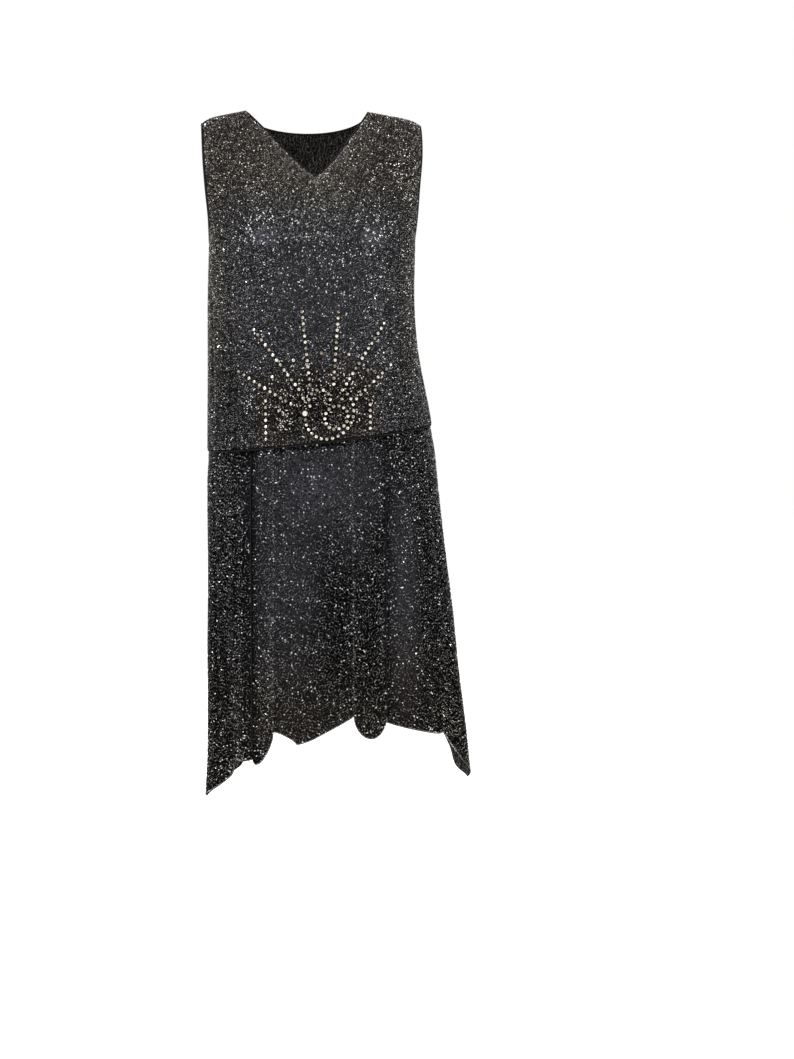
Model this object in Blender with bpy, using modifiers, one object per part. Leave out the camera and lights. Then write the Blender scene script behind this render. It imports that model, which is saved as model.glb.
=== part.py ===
"""A sleeveless, low-waisted beaded evening dress, hollow, as it hangs on an upright figure.

Metres, +Z up, the front faces -Y and the wearer's left is +X. The origin lies midway between the two
neck points on top of the shoulders, where the wearer holds the dress up. Every cloth piece is a thin
wall read from one rule for the dress's surface, cloth_point(), so that neighbours share their seams.
"""

import math
from collections import namedtuple

import bmesh
import bpy
from mathutils import Matrix, Vector

# Driving dimensions of the cut
HIP_SEAM = 0.494
HIP_TILT = 0.11
TILT_START = 0.30
NECK_HALF_WIDTH = 0.095
NECK_SHIFT = -0.007
FRONT_NECK_DEPTH = 0.105
FRONT_NECK_CURVE = 1.2
BACK_NECK_DEPTH = 0.030
SHOULDER_HALF_WIDTH = 0.165
SHOULDER_FALL = 0.019
SHOULDER_TIP = 0.32
SHOULDER_Y = 0.010
SHOULDER_ROUNDING = 0.060
ARMHOLE_DEPTH = 0.200
CENTRE_PANEL_HALF_WIDTH = 0.100
BACK_HEM = 0.935

# Cloth, seams and laps
CLOTH = 0.0014
SEAM_GAP = 0.0004
LAYER = CLOTH + 0.0010
HIP_LAP = 0.008
PANEL_LAP = 0.014
HIP_EASE_END = 0.545
BINDING_RADIUS = 0.0015
BINDING_GAP = 0.0006

# How square the sections are: 2 is an ellipse
SQUARENESS = 2.3

# Fullness over the bust of a general figure
BUST_X = 0.078
BUST_DROP = 0.195
BUST_FULLNESS = 0.012
BUST_SPREAD = 0.050
BUST_HANG = 0.110
BUST_EASE = 0.112
BUST_END = 0.153

# Rows of points from the top of a piece to its bottom edge
ARMHOLE_ROWS = 11
WAIST_ROWS = 10
SKIRT_ROWS = 13
NECK_COLUMNS = 6
SHOULDER_COLUMNS = 8

# Set stones and the rays they lie in
STONE_PITCH = 0.0090
STONE_RADIUS = 0.0027
STONE_HEIGHT = 0.0024
STONE_NECK = 0.0010
STRIP_HEIGHT = 0.0008
STONE_LIFT = CLOTH / 2 + 0.0004
STONE_TABLE = 0.0017

# One row for each level of the dress, by its drop below the neck points. front and back are the y of
# the centre lines, front_edge and back_edge the y of the armhole's edges, arc the share of a quarter
# turn, in degrees, that a half front covers, and shift how far the level stands to the wearer's left.
Level = namedtuple("Level", "drop half_width front_edge back_edge front back arc shift")
LEVELS = (
    Level(0.000, 0.165, -0.030, 0.045, -0.045, 0.060, 58, 0.000),
    Level(0.060, 0.1625, -0.046, 0.056, -0.074, 0.084, 58, -0.0005),
    Level(0.110, 0.159, -0.052, 0.058, -0.098, 0.098, 62, -0.001),
    Level(0.155, 0.1565, -0.042, 0.048, -0.114, 0.106, 70, 0.000),
    Level(0.185, 0.156, -0.020, 0.024, -0.121, 0.109, 82, 0.000),
    Level(0.200, 0.156, 0.000, 0.000, -0.123, 0.110, 90, 0.000),
    Level(0.290, 0.157, 0.000, 0.000, -0.122, 0.108, 90, -0.002),
    Level(0.376, 0.161, 0.000, 0.000, -0.121, 0.111, 90, 0.001),
    Level(0.494, 0.172, 0.000, 0.000, -0.127, 0.126, 90, 0.010),
    Level(0.595, 0.178, 0.000, 0.000, -0.132, 0.134, 90, 0.015),
    Level(0.685, 0.183, 0.000, 0.000, -0.137, 0.141, 90, 0.020),
    Level(0.785, 0.189, 0.000, 0.000, -0.142, 0.147, 90, 0.025),
    Level(0.873, 0.192, 0.000, 0.000, -0.146, 0.152, 90, 0.029),
    Level(0.969, 0.198, 0.000, 0.000, -0.150, 0.157, 90, 0.034),
    Level(1.070, 0.207, 0.000, 0.000, -0.154, 0.162, 90, 0.036),
)

# Soft vertical folds of the skirt, by their angle from the centre front: a ridge has a depth above
# zero, and each grows from nothing at its start to full depth at the hem.
Fold = namedtuple("Fold", "angle width depth start")
FOLD_FULL = 1.000
FOLDS = (
    Fold(-26, 34, 0.008, 0.54),
    Fold(-4, 18, -0.010, 0.52),
    Fold(8, 16, 0.006, 0.56),
    Fold(34, 26, 0.005, 0.54),
    Fold(52, 26, -0.009, 0.56),
    Fold(72, 26, 0.008, 0.54),
    Fold(102, 26, -0.008, 0.56),
    Fold(128, 28, 0.008, 0.54),
    Fold(152, 26, -0.008, 0.54),
    Fold(172, 24, 0.007, 0.56),
    Fold(-58, 26, -0.009, 0.56),
    Fold(-78, 24, 0.007, 0.54),
    Fold(-104, 26, -0.008, 0.56),
    Fold(-130, 28, 0.009, 0.54),
    Fold(-156, 28, -0.008, 0.54),
)

# Lobes of the scalloped hem. start and end are shares of the piece's width, start_drop and end_drop
# the drops of the notches between lobes, and sag how far a lobe hangs below the line joining them.
# shape is ROUND for a scallop and LONG for the slope of a point.
Lobe = namedtuple("Lobe", "start end start_drop end_drop sag shape columns")
ROUND = 0.5
LONG = 1.0
FRONT_HEM = (
    Lobe(0.000, 0.168, 0.957, 0.918, 0.022, ROUND, 4),
    Lobe(0.168, 0.321, 0.918, 0.938, -0.004, ROUND, 3),
    Lobe(0.321, 0.748, 0.938, 0.906, 0.007, ROUND, 7),
    Lobe(0.748, 1.000, 0.906, 0.915, 0.034, ROUND, 6),
)
BACK_HEM_LOBES = 4
BACK_HEM_SAG = 0.020
BACK_LOBE_COLUMNS = 5
RIGHT_POINT = 1.034
LEFT_POINT = 1.058
RIGHT_SIDE_HEM = (
    Lobe(0.00, 0.17, 0.952, 0.960, 0.006, ROUND, 3),
    Lobe(0.17, 0.22, 0.960, 0.988, 0.002, LONG, 2),
    Lobe(0.22, 0.50, 0.988, RIGHT_POINT, 0.006, LONG, 5),
    Lobe(0.50, 0.74, RIGHT_POINT, 1.022, 0.006, ROUND, 4),
    Lobe(0.74, 0.92, 1.022, 1.020, 0.012, ROUND, 4),
    Lobe(0.92, 1.00, 1.020, 0.958, 0.002, LONG, 3),
)
LEFT_SIDE_HEM = (
    Lobe(0.00, 0.27, 0.914, 0.962, 0.009, ROUND, 4),
    Lobe(0.27, 0.34, 0.962, 1.014, 0.000, LONG, 2),
    Lobe(0.34, 0.50, 1.014, LEFT_POINT, 0.010, LONG, 4),
    Lobe(0.50, 0.74, LEFT_POINT, 0.968, 0.021, LONG, 5),
    Lobe(0.74, 1.00, 0.968, 0.945, 0.014, ROUND, 4),
)

# Rays of stones, by the angle above the wearer's left and the place of the lowest stone
Ray = namedtuple("Ray", "name angle x drop stones")
RAYS = (
    Ray("stone_ray_right_low", 147, -0.040, 0.434, 11),
    Ray("stone_ray_right_high", 127, -0.028, 0.414, 13),
    Ray("stone_ray_right_upright", 96, -0.012, 0.409, 13),
    Ray("stone_ray_left_upright", 86, 0.023, 0.410, 13),
    Ray("stone_ray_left_high", 58, 0.042, 0.411, 13),
    Ray("stone_ray_left_low", 43, 0.057, 0.435, 9),
)

# Round settings at the foot of the fan: arcs of stones by centre, radius and the angles they run
# between. A closed one runs a full turn.
Arc = namedtuple("Arc", "name x drop radius start sweep end_radius stones")
ARCS = (
    Arc("stone_ring", 0.0268, 0.460, 0.0172, 0, 360, 0.0172, 14),
    Arc("stone_scroll", 0.0135, 0.4545, 0.0325, 187, 230, 0.0415, 18),
    Arc("stone_arch", 0.002, 0.4325, 0.0158, 0, 205, 0.0158, 7),
)

# Upright columns of stones beside the fan
Column = namedtuple("Column", "name x drop stones")
COLUMNS = (
    Column("stone_column_right", -0.077, 0.427, 7),
    Column("stone_column_left", 0.0775, 0.446, 5),
)

# Stones set singly between the rays, and the large one beside the ring. size is against the others.
Single = namedtuple("Single", "name x drop size")
SINGLES = (
    Single("stone_large", -0.0196, 0.4493, 1.65),
    Single("stone_between_right_low", -0.067, 0.394, 1.0),
    Single("stone_between_right_high", -0.036, 0.372, 1.0),
    Single("stone_between_uprights", 0.0055, 0.363, 1.0),
    Single("stone_between_left_high", 0.046, 0.366, 1.0),
    Single("stone_between_left_low", 0.074, 0.392, 1.0),
    Single("stone_by_arch_right", -0.022, 0.427, 1.0),
    Single("stone_by_arch_left", 0.035, 0.4335, 1.0),
)

Finish = namedtuple("Finish", "colour roughness metallic")
FINISHES = {
    "beaded_cloth": Finish((0.045, 0.043, 0.042), 0.45, 0.2),
    "binding": Finish((0.012, 0.012, 0.014), 0.7, 0.0),
    "stones": Finish((0.80, 0.74, 0.62), 0.12, 0.6),
}


def smooth_step(low, high, value):
    """0 below low, 1 above high, and a smooth rise between them."""
    t = min(1.0, max(0.0, (value - low) / (high - low)))
    return t * t * (3 - 2 * t)


def level(column, drop):
    """A column of the table of levels at any drop, on a smooth curve through its rows."""
    rows = [(row.drop, getattr(row, column)) for row in LEVELS]
    last = len(rows) - 2
    at = next((i for i in range(last + 1) if drop < rows[i + 1][0]), last)

    def slope(i):
        low, high = rows[max(i - 1, 0)], rows[min(i + 1, last + 1)]
        return (high[1] - low[1]) / (high[0] - low[0])

    (start, first), (end, second) = rows[at], rows[at + 1]
    span = end - start
    t = min(1.0, max(0.0, (drop - start) / span))
    return (
        (1 + 2 * t) * (1 - t) ** 2 * first
        + t * (1 - t) ** 2 * span * slope(at)
        + t * t * (3 - 2 * t) * second
        - t * t * (1 - t) * span * slope(at + 1)
    )


def corner(value):
    """A sine or cosine turned into the share of a section's half width or depth."""
    return max(0.0, value) ** (2 / SQUARENESS)


def shoulder_fall(x, drop):
    """How far the shoulder slopes down at x, fading out towards the underarm."""
    width = SHOULDER_HALF_WIDTH - NECK_HALF_WIDTH - math.copysign(1, x) * NECK_SHIFT
    along = (abs(x - NECK_SHIFT) - NECK_HALF_WIDTH) / width
    along = min(1.0, max(0.0, along))
    rounded = (1 - SHOULDER_TIP) * along + SHOULDER_TIP * along**8
    return SHOULDER_FALL * rounded * (1 - smooth_step(0, ARMHOLE_DEPTH, drop))


def bust(x, drop):
    """The fullness of the front over the bust, hanging on below it and gone before the side seams."""
    aside = (abs(x) - BUST_X) / BUST_SPREAD
    below = (drop - BUST_DROP) / (BUST_SPREAD if drop < BUST_DROP else BUST_HANG)
    toward_seam = 1 - smooth_step(BUST_EASE, BUST_END, abs(x))
    return BUST_FULLNESS * math.exp(-(aside**2 + below**2) / 2) * toward_seam


def cloth_point(side, turn, drop, lift=0.0):
    """A point of the dress's surface. side is -1 on the front and 1 on the back, and turn the angle
    from its centre line, below zero to the wearer's right."""
    arc = math.radians(level("arc", drop))
    edge_share = corner(math.sin(arc)), corner(math.cos(arc))
    across, along = corner(math.sin(abs(turn))), corner(math.cos(turn))
    left = min(1.0, drop / SHOULDER_ROUNDING)
    round_over = math.sqrt(1 - (1 - left) ** 2)
    centre = level("front" if side < 0 else "back", drop)
    edge = level("front_edge" if side < 0 else "back_edge", drop)
    centre_y = SHOULDER_Y + (centre - SHOULDER_Y) * round_over + side * lift
    edge_y = SHOULDER_Y + (edge - SHOULDER_Y) * round_over if drop < ARMHOLE_DEPTH else 0.0
    half = level("half_width", drop) + lift
    x = math.copysign(half * across / edge_share[0], turn)
    tilt = HIP_TILT * x * smooth_step(TILT_START, HIP_SEAM, drop)
    y = edge_y + (centre_y - edge_y) * (along - edge_share[1]) / (1 - edge_share[1])
    y += side * SEAM_GAP / 2 - (bust(x, drop) * round_over if side < 0 else 0)
    return Vector((x + level("shift", drop), y, tilt - drop - shoulder_fall(x, drop)))


def cloth_normal(side, turn, drop):
    """The outward direction of the surface."""
    step = 1e-3
    across = cloth_point(side, turn + step, drop) - cloth_point(side, turn - step, drop)
    down = cloth_point(side, turn, drop + step) - cloth_point(side, turn, max(0, drop - step))
    normal = across.cross(down).normalized()
    return -normal if side < 0 else normal


def turn_at(x, drop):
    """The turn of the point of a front or back that stands at x."""
    arc = math.radians(level("arc", drop))
    share = (x - level("shift", drop)) / level("half_width", drop)
    sine = min(1.0, abs(share) ** (SQUARENESS / 2) * math.sin(arc))
    return math.copysign(math.asin(sine), share)


def fold_lift(angle, drop):
    """How far the skirt's folds stand out at an angle from the centre front."""
    total = 0.0
    for fold in FOLDS:
        off = (angle - fold.angle + 180) % 360 - 180
        if abs(off) < fold.width / 2:
            wave = (1 + math.cos(math.tau * off / fold.width)) / 2
            total += fold.depth * wave * smooth_step(fold.start, FOLD_FULL, drop)
    return total


def skirt_point(angle, drop, lift):
    """A point of the skirt, by its angle from the centre front, in radians, up to a full turn."""
    lift = lift + fold_lift(math.degrees(angle), drop)
    side = -1 if abs(angle) <= math.pi / 2 else 1
    turn = angle if side < 0 else math.copysign(math.pi - abs(angle), angle)
    return cloth_point(side, turn, drop, lift)


def skirt_ease(drop):
    """The skirt lies one layer inside the bodice at the hip seam, and comes out below it."""
    return -LAYER * (1 - smooth_step(HIP_SEAM, HIP_EASE_END, drop))


def lobe_columns(lobes):
    """(share of the width, drop of the hem) for each column of a piece with a scalloped hem."""
    columns = []
    for lobe in lobes:
        for i in range(lobe.columns):
            # Columns crowd towards the notches, where the hem is steep.
            along = (1 - math.cos(math.pi * i / lobe.columns)) / 2
            belly = lobe.sag * (4 * along * (1 - along)) ** lobe.shape
            drop = lobe.start_drop + (lobe.end_drop - lobe.start_drop) * along + belly
            columns.append((lobe.start + (lobe.end - lobe.start) * along, drop))
    columns.append((lobes[-1].end, lobes[-1].end_drop))
    return columns


def new_material(name):
    finish = FINISHES[name]
    material = bpy.data.materials.new(name)
    material.use_nodes = True
    shader = material.node_tree.nodes["Principled BSDF"]
    shader.inputs["Base Color"].default_value = (*finish.colour, 1)
    shader.inputs["Roughness"].default_value = finish.roughness
    shader.inputs["Metallic"].default_value = finish.metallic
    return material


def new_object(name, mesh, material):
    obj = bpy.data.objects.new(name, mesh)
    obj.data.materials.append(material)
    dress.objects.link(obj)
    return obj


def loft(name, rings, material, around, along=False):
    """Faces between rows of points. around closes each row on itself, and along the last row on the
    first; where only the rows are closed, the two ends are capped."""
    build = bmesh.new()
    rows = [[build.verts.new(point) for point in ring] for ring in rings]
    width = len(rows[0])
    for i in range(len(rows) - (0 if along else 1)):
        upper, lower = rows[i], rows[(i + 1) % len(rows)]
        for j in range(width - (0 if around else 1)):
            k = (j + 1) % width
            build.faces.new((upper[j], lower[j], lower[k], upper[k]))
    if around and not along:
        build.faces.new(rows[0])
        build.faces.new(list(reversed(rows[-1])))
    if around:
        bmesh.ops.recalc_face_normals(build, faces=build.faces)
    mesh = bpy.data.meshes.new(name)
    build.to_mesh(mesh)
    build.free()
    mesh.shade_smooth()
    return new_object(name, mesh, material)


def cloth_piece(name, rows):
    """A cloth piece from its rows of points, top to bottom, as a wall of the cloth's thickness."""
    obj = loft(name, rows, materials["beaded_cloth"], around=False)
    wall = obj.modifiers.new("wall", "SOLIDIFY")
    wall.thickness = CLOTH
    wall.offset = 0
    wall.use_even_offset = True
    return obj


def top_of_neck(side, turn):
    """The drop of the neckline above a turn, or 0 on the shoulder seam. The neck points stand a
    little to the wearer's right, and the foot of the V on the dress's own middle."""
    drop = 0.0
    for _ in range(30):
        middle = NECK_SHIFT * (1 - drop / FRONT_NECK_DEPTH)
        share = min(1.0, abs(cloth_point(side, turn, drop).x - middle) / NECK_HALF_WIDTH)
        if side < 0:
            wanted = FRONT_NECK_DEPTH * (1 - share**FRONT_NECK_CURVE)
        else:
            wanted = BACK_NECK_DEPTH * math.sqrt(1 - share**2)
        drop += (wanted - drop) / 2
    return drop if drop > 1e-5 else 0.0


def bodice_columns():
    """Shares of the arc from the wearer's right to left: shoulder, neck, shoulder."""
    arc = math.radians(level("arc", 0.0))
    halves = []
    for sign in (-1, 1):
        neck_share = abs(turn_at(NECK_SHIFT + sign * NECK_HALF_WIDTH, 0.0)) / arc
        neck = [neck_share * i / NECK_COLUMNS for i in range(NECK_COLUMNS)]
        shoulder = [
            neck_share + (1 - neck_share) * i / SHOULDER_COLUMNS
            for i in range(SHOULDER_COLUMNS + 1)
        ]
        halves.append([sign * share for share in neck + shoulder])
    return halves[0][:0:-1] + halves[1]


def bodice_tops(side):
    """(share, drop) of the top edge over each column of a bodice."""
    arc = math.radians(level("arc", 0.0))
    return [(share, top_of_neck(side, share * arc)) for share in bodice_columns()]


def bodice_turn(share, drop):
    return share * math.radians(level("arc", drop))


def armhole_rows():
    """Shares of the armhole's depth, crowding towards the shoulder, which turns in a short space."""
    return [(i / ARMHOLE_ROWS) ** 2 for i in range(ARMHOLE_ROWS)]


def bodice(name, side):
    """A front or back from the shoulder seams and neckline to the low hip seam."""
    tops = bodice_tops(side)
    drops = [[top + (ARMHOLE_DEPTH - top) * down for _, top in tops] for down in armhole_rows()]
    for i in range(WAIST_ROWS + 1):
        drops.append([ARMHOLE_DEPTH + (HIP_SEAM - ARMHOLE_DEPTH) * i / WAIST_ROWS] * len(tops))
    rows = []
    for across in drops:
        row = [
            cloth_point(side, bodice_turn(share, drop), drop)
            for (share, _), drop in zip(tops, across)
        ]
        rows.append(row if side < 0 else row[::-1])
    return cloth_piece(name, rows)


def centre_panel(name, side, lobes):
    """The middle of the skirt, front or back, with upright edges lapped over the side panels."""
    top = HIP_SEAM - HIP_LAP
    rows = []
    for i in range(SKIRT_ROWS + 1):
        row = []
        for share, hem in lobe_columns(lobes):
            drop = top + (hem - top) * i / SKIRT_ROWS
            x = CENTRE_PANEL_HALF_WIDTH * (2 * share - 1)
            turn = turn_at(x, drop)
            angle = turn if side < 0 else math.copysign(math.pi - abs(turn), turn)
            row.append(skirt_point(angle, drop, skirt_ease(drop)))
        rows.append(row if side < 0 else row[::-1])
    return cloth_piece(name, rows)


def side_panel(name, sign, lobes):
    """The flared side of the skirt, from under the front panel's edge round to the back's, with a
    long point at the side. sign is 1 on the wearer's left."""
    top = HIP_SEAM - HIP_LAP
    lapped_x = CENTRE_PANEL_HALF_WIDTH - PANEL_LAP
    columns = lobe_columns(lobes)
    rows = []
    for i in range(SKIRT_ROWS + 1):
        row = []
        for j, (share, hem) in enumerate(columns):
            drop = top + (hem - top) * i / SKIRT_ROWS
            first = abs(turn_at(sign * lapped_x, drop))
            second = abs(turn_at(sign * CENTRE_PANEL_HALF_WIDTH, drop))
            angle = first + (math.pi - 2 * first) * share
            at_lap = min(j, len(columns) - 1 - j)
            if at_lap == 1:
                # This column runs just past the centre panel's edge, still one layer down.
                past = second + (second - first) * 0.3
                angle = past if share < 0.5 else math.pi - past
            lift = skirt_ease(drop) - (LAYER if at_lap <= 1 else 0)
            row.append(skirt_point(sign * angle, drop, lift))
        rows.append(row if sign > 0 else row[::-1])
    return cloth_piece(name, rows)


def edge_offset(points, normals, distance):
    """A closed line of points moved sideways in the surface, away from the cloth."""
    count = len(points)
    aside = []
    for i in range(count):
        along = points[(i + 1) % count] - points[i]
        normal = normals[i] + normals[(i + 1) % count]
        aside.append(normal.cross(along).normalized())
    moved = []
    for i in range(count):
        both = (aside[i - 1] + aside[i]).normalized()
        moved.append(points[i] + both * distance / max(0.5, both.dot(aside[i])))
    return moved


def binding(name, points):
    """A rolled binding: a thin tube along a closed line of points."""
    data = bpy.data.curves.new(name, "CURVE")
    data.dimensions = "3D"
    data.bevel_depth = BINDING_RADIUS
    data.bevel_resolution = 1
    spline = data.splines.new("POLY")
    spline.points.add(len(points) - 1)
    for point, place in zip(spline.points, points):
        point.co = (*place, 1)
    spline.use_cyclic_u = True
    return new_object(name, data, materials["binding"])


def neck_binding():
    """The binding round the V neck and the back of the neck."""
    places = []
    for side in (-1, 1):
        tops = bodice_tops(side)
        inner = tops[SHOULDER_COLUMNS : len(tops) - SHOULDER_COLUMNS]
        if side > 0:
            inner = inner[-2:0:-1]
        places += [(side, bodice_turn(share, top), top) for share, top in inner]
    points = [cloth_point(*place) for place in places]
    normals = [cloth_normal(*place) for place in places]
    return binding("neck_binding", edge_offset(points, normals, BINDING_RADIUS + BINDING_GAP))


def armhole_binding(name, sign):
    """The binding round one armhole. sign is 1 on the wearer's left."""
    places = []
    for side in (-1, 1):
        run = [ARMHOLE_DEPTH * down for down in armhole_rows()] + [ARMHOLE_DEPTH]
        if side > 0:
            run = run[-2:0:-1]
        places += [(side, sign * bodice_turn(1.0, drop), drop) for drop in run]
    points = [cloth_point(*place) for place in places]
    normals = [cloth_normal(*place) for place in places]
    if sign < 0:
        points, normals = points[::-1], normals[::-1]
    return binding(name, edge_offset(points, normals, BINDING_RADIUS + BINDING_GAP))


def on_front(x, drop):
    """(point, outward direction) where a setting lies on the bodice's front."""
    turn = turn_at(x, drop)
    normal = cloth_normal(-1, turn, drop)
    return cloth_point(-1, turn, drop) + normal * STONE_LIFT, normal


def stone_strip(name, route, stones, closed=False):
    """Set stones in a row on one narrow backing. route gives x and drop at a count of stones."""
    steps = 4
    stations = stones * steps if closed else (stones - 1) * steps + 3
    rings = []
    for i in range(stations):
        at = i / steps if closed else (i - 1) / steps
        swell = (1 + math.cos(math.tau * at)) / 2
        half = STONE_NECK + (STONE_RADIUS - STONE_NECK) * math.sqrt(swell)
        height = STRIP_HEIGHT + (STONE_HEIGHT - STRIP_HEIGHT) * swell
        point, normal = on_front(*route(at))
        ahead = on_front(*route(at + 0.01))[0] - on_front(*route(at - 0.01))[0]
        aside = ahead.cross(normal).normalized()
        rings.append(
            [
                point - aside * half,
                point - aside * half * 0.55 + normal * height,
                point + aside * half * 0.55 + normal * height,
                point + aside * half,
            ]
        )
    return loft(name, rings, materials["stones"], around=True, along=closed)


def ray_route(ray):
    angle = math.radians(ray.angle)

    def route(at):
        reach = STONE_PITCH * at
        return ray.x + reach * math.cos(angle), ray.drop - reach * math.sin(angle)

    return route


def arc_route(arc):
    closed = abs(arc.sweep) == 360

    def route(at):
        share = at / (arc.stones if closed else arc.stones - 1)
        angle = math.radians(arc.start + arc.sweep * share)
        radius = arc.radius + (arc.end_radius - arc.radius) * share
        return arc.x + radius * math.cos(angle), arc.drop - radius * math.sin(angle)

    return route


def column_route(column):
    def route(at):
        return column.x, column.drop + STONE_PITCH * at

    return route


def single_stone(single):
    """A stone set by itself, a cut cone on its flat back."""
    point, normal = on_front(single.x, single.drop)
    height = STONE_HEIGHT * single.size
    build = bmesh.new()
    bmesh.ops.create_cone(
        build,
        cap_ends=True,
        segments=10,
        radius1=STONE_RADIUS * single.size,
        radius2=STONE_TABLE * single.size,
        depth=height,
        matrix=Matrix.Translation((0, 0, height / 2)),
    )
    mesh = bpy.data.meshes.new(single.name)
    build.to_mesh(mesh)
    build.free()
    obj = new_object(single.name, mesh, materials["stones"])
    obj.matrix_world = Matrix.Translation(point) @ normal.to_track_quat("Z", "Y").to_matrix().to_4x4()
    return obj


def back_hem():
    """Even lobes across the back panel."""
    share = 1 / BACK_HEM_LOBES
    return [
        Lobe(
            i * share, (i + 1) * share, BACK_HEM, BACK_HEM, BACK_HEM_SAG, ROUND, BACK_LOBE_COLUMNS
        )
        for i in range(BACK_HEM_LOBES)
    ]


def build_dress():
    bodice("front_bodice", -1)
    bodice("back_bodice", 1)
    centre_panel("front_skirt", -1, FRONT_HEM)
    centre_panel("back_skirt", 1, back_hem())
    side_panel("side_panel_right", -1, RIGHT_SIDE_HEM)
    side_panel("side_panel_left", 1, LEFT_SIDE_HEM)
    neck_binding()
    armhole_binding("armhole_binding_right", -1)
    armhole_binding("armhole_binding_left", 1)
    for ray in RAYS:
        stone_strip(ray.name, ray_route(ray), ray.stones)
    for arc in ARCS:
        stone_strip(arc.name, arc_route(arc), arc.stones, closed=abs(arc.sweep) == 360)
    for column in COLUMNS:
        stone_strip(column.name, column_route(column), column.stones)
    for single in SINGLES:
        single_stone(single)


for old in list(bpy.data.objects):
    bpy.data.objects.remove(old, do_unlink=True)
dress = bpy.data.collections.new("beaded_dress")
bpy.context.scene.collection.children.link(dress)
materials = {name: new_material(name) for name in FINISHES}
build_dress()
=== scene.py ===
import math

import bpy
import numpy as np
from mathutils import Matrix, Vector


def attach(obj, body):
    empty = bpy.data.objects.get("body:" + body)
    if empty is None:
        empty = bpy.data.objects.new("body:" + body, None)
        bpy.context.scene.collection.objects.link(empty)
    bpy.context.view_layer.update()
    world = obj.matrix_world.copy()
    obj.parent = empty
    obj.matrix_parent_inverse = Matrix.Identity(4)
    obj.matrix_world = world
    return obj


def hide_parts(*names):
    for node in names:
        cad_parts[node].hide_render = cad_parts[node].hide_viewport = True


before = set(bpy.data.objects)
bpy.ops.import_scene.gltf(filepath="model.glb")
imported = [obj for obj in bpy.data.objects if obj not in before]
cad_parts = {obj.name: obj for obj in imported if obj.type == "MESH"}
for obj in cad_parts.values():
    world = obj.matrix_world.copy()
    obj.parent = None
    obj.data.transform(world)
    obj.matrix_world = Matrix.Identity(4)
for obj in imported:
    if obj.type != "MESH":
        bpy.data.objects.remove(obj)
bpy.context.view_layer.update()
print("frame loaded:", len(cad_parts), "solids")

# The camera stands a little above the waist, with the front turned slightly to the right
camera = {
    "position": (-0.182, -2.978, -0.299),
    "aim": (0.129, -0.014, -0.639),
    "distance": 3.0,
    "heightSeen": 1.648,
    "sensor": 36.0,
}
studio = {
    "floorHeight": -1.41,
    "floorSize": 14.0,
    "floorFinish": {  # a pale floor with a glow of its own, so that it runs into the backdrop
        "Base Color": (0.93, 0.93, 0.925, 1),
        "Roughness": 0.9,
        "Emission Color": (0.93, 0.93, 0.925, 1),
        "Emission Strength": 0.8,
    },
    "ambient": 0.40,
    # place, aim, size, watts
    "lamps": (
        ((-1.7, -2.6, 1.0), (0.0, 0.0, -0.50), 0.8, 44),
        ((2.0, -2.2, 0.3), (0.0, 0.0, -0.60), 0.7, 17),
        ((0.2, -1.5, 2.0), (0.0, 0.0, -0.30), 0.6, 22),
        ((-0.8, 2.3, 0.9), (0.0, 0.0, -0.50), 0.9, 26),
        ((1.5, 1.9, 0.2), (0.0, 0.0, -0.60), 0.8, 12),
    ),
}


def metres(columns, rows):  # a table whose columns of these numbers are written in millimetres
    return [tuple(v / 1000 if i in columns else v for i, v in enumerate(row)) for row in rows]


# The dress's own sizes, in metres, as its solids have them
form = {
    "hipSeam": 0.494,
    "hipTilt": 0.11,
    "tiltStart": 0.30,
    "neckHalfWidth": 0.095,
    "neckShift": -0.007,
    "frontNeckDepth": 0.105,
    "frontNeckCurve": 1.2,
    "backNeckDepth": 0.030,
    "shoulderHalfWidth": 0.165,
    "shoulderFall": 0.019,
    "shoulderTip": 0.32,
    "shoulderY": 0.010,
    "shoulderRounding": 0.060,
    "armholeDepth": 0.200,
    "squareness": 2.3,
    "seamGap": 0.0004,
    "layer": 0.0024,
    "hipLap": 0.008,
    "hipEaseEnd": 0.545,
    "panelHalfWidth": 0.100,
    "panelLap": 0.014,
    "bustX": 0.078,
    "bustDrop": 0.195,
    "bustFullness": 0.012,
    "bustSpread": 0.050,
    "bustHang": 0.110,
    "bustEase": 0.112,  # the fullness dies away here, so that the side seams close
    "bustEnd": 0.153,
    "foldFull": 1.000,
}
levelColumns = ("drop", "halfWidth", "frontEdge", "backEdge", "front", "back", "arc", "shift")
levelRows = metres((0, 1, 2, 3, 4, 5, 7), (
    (0, 165, -30, 45, -45, 60, 58, 0), (60, 162.5, -46, 56, -74, 84, 58, -0.5),
    (110, 159, -52, 58, -98, 98, 62, -1), (155, 156.5, -42, 48, -114, 106, 70, 0),
    (185, 156, -20, 24, -121, 109, 82, 0), (200, 156, 0, 0, -123, 110, 90, 0),
    (290, 157, 0, 0, -122, 108, 90, -2), (376, 161, 0, 0, -121, 111, 90, 1),
    (494, 172, 0, 0, -127, 126, 90, 10), (595, 178, 0, 0, -132, 134, 90, 15),
    (685, 183, 0, 0, -137, 141, 90, 20), (785, 189, 0, 0, -142, 147, 90, 25),
    (873, 192, 0, 0, -146, 152, 90, 29), (969, 198, 0, 0, -150, 157, 90, 34),
    (1070, 207, 0, 0, -154, 162, 90, 36),
))
levels = {name: np.array([row[i] for row in levelRows]) for i, name in enumerate(levelColumns)}
# Hanging folds of the skirt: angle from the centre front, width, depth, drop where it begins
hangingFolds = metres((2, 3), (
    (-26, 34, 8, 540), (-4, 18, -10, 520), (8, 16, 6, 560), (34, 26, 5, 540), (52, 26, -9, 560),
    (72, 26, 8, 540), (102, 26, -8, 560), (128, 28, 8, 540), (152, 26, -8, 540),
    (172, 24, 7, 560), (-58, 26, -9, 560), (-78, 24, 7, 540), (-104, 26, -8, 560),
    (-130, 28, 9, 540), (-156, 28, -8, 540),
))
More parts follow.
